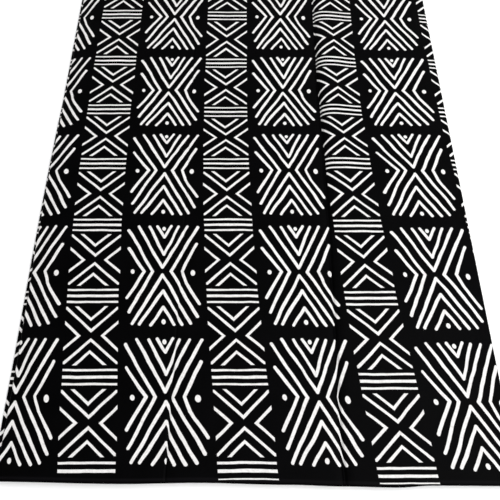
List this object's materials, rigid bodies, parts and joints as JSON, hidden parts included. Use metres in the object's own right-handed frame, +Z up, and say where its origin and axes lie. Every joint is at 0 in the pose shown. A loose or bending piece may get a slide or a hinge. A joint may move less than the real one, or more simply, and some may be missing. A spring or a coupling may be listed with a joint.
{
  "type": "folded wax print fabric",
  "caption": "Length of black and off-white printed cotton cloth, folded back and forth into a flat rectangular pile with soft lengthwise creases.",
  "frame": {"origin": "on the surface that the pile lies on, under the middle of its box", "axes": "+Y across the cloth from the near selvedge to the far one, +X along the cloth from the left folds to the right fold, +Z up through the layers"},
  "size_m": [0.7236, 1.1677, 0.0205],
  "materials": {
    "printed_cotton": "matt plain-weave cotton, black dyed ground with off-white hand-drawn strokes"
  },
  "bodies": {
    "root": {"cloth": "printed_cotton"}
  },
  "joints": []
}
